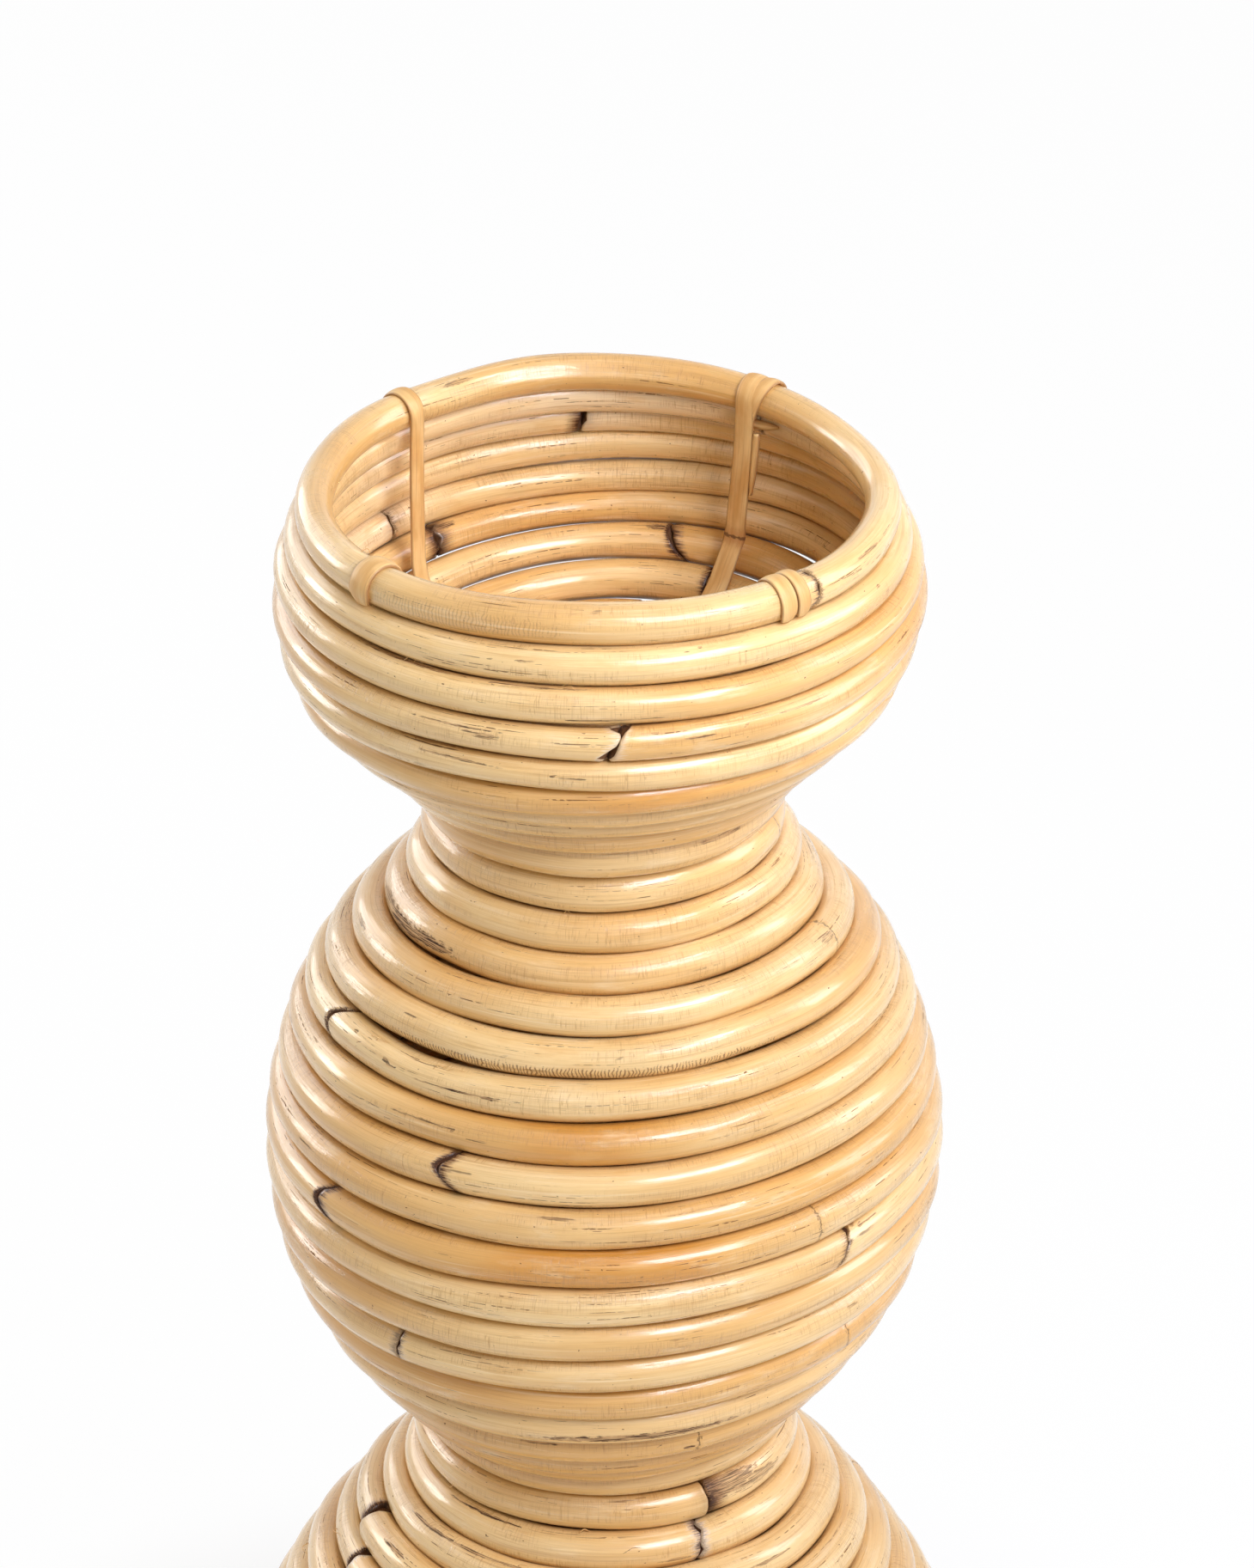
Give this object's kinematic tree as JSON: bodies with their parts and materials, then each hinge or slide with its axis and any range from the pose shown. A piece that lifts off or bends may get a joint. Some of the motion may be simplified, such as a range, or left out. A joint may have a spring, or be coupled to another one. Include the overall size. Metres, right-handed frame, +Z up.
{
  "type": "rattan vase",
  "caption": "Tall open vase of stacked rattan cane hoops, with a bowl-shaped mouth, narrow necks and rounded bulging body sections.",
  "frame": {"origin": "centre of the vase's base, on the surface it stands on", "axes": "+Z up along the vase's axis; -Y is the side that faces the camera in the picture, +X its right"},
  "size_m": [0.3194, 0.3194, 0.7374],
  "materials": {
    "cane": "satin",
    "split_cane": "satin",
    "plywood": "matt"
  },
  "bodies": {
    "root": {"ball_hoop_01": "cane", "ball_hoop_02": "cane", "ball_hoop_03": "cane", "ball_hoop_04": "cane", "ball_hoop_05": "cane", "ball_hoop_06": "cane", "ball_hoop_07": "cane", "ball_hoop_08": "cane", "ball_hoop_09": "cane", "ball_hoop_10": "cane", "ball_hoop_11": "cane", "ball_hoop_12": "cane", "ball_hoop_13": "cane", "ball_hoop_14": "cane", "ball_hoop_15": "cane", "ball_hoop_16": "cane", "ball_hoop_17": "cane", "ball_hoop_18": "cane", "ball_hoop_19": "cane", "base_ball_hoop_01": "cane", "base_ball_hoop_02": "cane", "base_ball_hoop_03": "cane", "base_ball_hoop_04": "cane", "base_ball_hoop_05": "cane", "base_ball_hoop_06": "cane", "base_ball_hoop_07": "cane", "base_ball_hoop_08": "cane", "base_ball_hoop_09": "cane", "base_ball_hoop_10": "cane", "base_ball_hoop_11": "cane", "base_ball_hoop_12": "cane", "base_ball_hoop_13": "cane", "base_ball_hoop_14": "cane", "base_ball_hoop_15": "cane", "base_ball_hoop_16": "cane", "base_ball_hoop_17": "cane", "base_board": "plywood", "bowl_hoop_01": "cane", "bowl_hoop_02": "cane", "bowl_hoop_03": "cane", "bowl_hoop_04": "cane", "bowl_hoop_05": "cane", "bowl_hoop_06": "cane", "bowl_hoop_07": "cane", "bowl_hoop_08": "cane", "bowl_hoop_09": "cane", "bowl_rib_1": "split_cane", "bowl_rib_2": "split_cane", "bowl_rib_3": "split_cane", "bowl_rib_4": "split_cane", "foot_hoop": "cane", "rim_hoop": "cane"}
  },
  "joints": []
}
